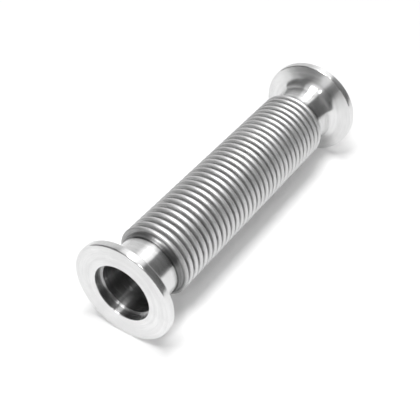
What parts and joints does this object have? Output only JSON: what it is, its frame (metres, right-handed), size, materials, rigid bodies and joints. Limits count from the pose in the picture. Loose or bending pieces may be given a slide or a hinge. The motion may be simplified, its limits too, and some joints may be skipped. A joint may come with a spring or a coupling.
{
  "type": "vacuum bellows hose",
  "caption": "Short stainless steel bellows hose with a quick-release small flange at each end, for joining two vacuum ports that don't quite line up.",
  "frame": {"origin": "centre of the lower flange's sealing face", "axes": "+Z along the hose's axis, towards the upper flange; X and Y are alike, because the hose is round"},
  "size_m": [0.03, 0.03, 0.1],
  "materials": {
    "turned_steel": "fine turned, bright",
    "weld_steel": "turned, with a fused weld edge",
    "formed_steel": "bright rolled sheet"
  },
  "bodies": {
    "root": {"lower_flange": "turned_steel", "upper_flange": "turned_steel", "lower_weld_collar": "weld_steel", "upper_weld_collar": "weld_steel", "bellows": "formed_steel"}
  },
  "joints": []
}
